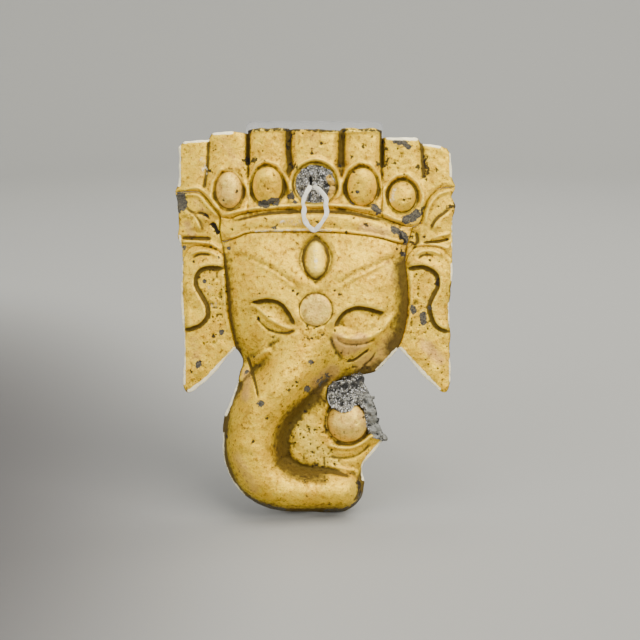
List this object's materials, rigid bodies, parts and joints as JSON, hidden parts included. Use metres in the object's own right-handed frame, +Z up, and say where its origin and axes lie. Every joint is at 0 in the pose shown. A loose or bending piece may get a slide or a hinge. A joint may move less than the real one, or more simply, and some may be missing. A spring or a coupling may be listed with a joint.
{
  "type": "elephant-head votive plaque on a display stand",
  "caption": "Gilded sheet-metal elephant-head plaque with a jewelled crown, hung on pegs of a clear bent-plate display stand.",
  "frame": {"origin": "on the table, under the middle of the stand's foot", "axes": "+Z up, +X to the viewer's right, -Y towards the viewer"},
  "size_m": [0.1212, 0.1025, 0.1628],
  "materials": {
    "gilding": "worn gilding",
    "pink_gilding": "rubbed gilding",
    "grey_fill": "porous grey fill",
    "strap_brass": "satin",
    "ribbon": "woven cotton tape",
    "acrylic": "clear polished",
    "silicone": "clear silicone"
  },
  "bodies": {
    "stand": {"display_stand": "acrylic", "left_peg": "acrylic", "right_peg": "acrylic", "left_top_bumper": "silicone", "right_top_bumper": "silicone", "left_low_bumper": "silicone", "right_low_bumper": "silicone"},
    "plaque": {"face_trunk_sheet": "gilding", "brow_band": "gilding", "crown_centre_sheet": "gilding", "crown_left_sheet": "gilding", "crown_right_sheet": "gilding", "left_ribbon": "gilding", "right_ribbon": "gilding", "left_ear": "gilding", "right_ear": "gilding", "mouth_fill": "grey_fill", "jewel_left_outer": "pink_gilding", "jewel_left_inner": "gilding", "jewel_right_inner": "gilding", "jewel_right_outer": "gilding", "third_eye_boss": "gilding", "brow_disc": "pink_gilding", "sweet_ball": "pink_gilding", "crest_fill": "grey_fill", "tie_loop": "ribbon", "tie_knot": "ribbon", "hanger_strap": "strap_brass"}
  },
  "joints": [
    {"name": "mask_lift", "type": "slide", "parent": "stand", "child": "plaque", "axis": [0, 0.2588, 0.9659], "range_m": [0, 0.02]}
  ]
}
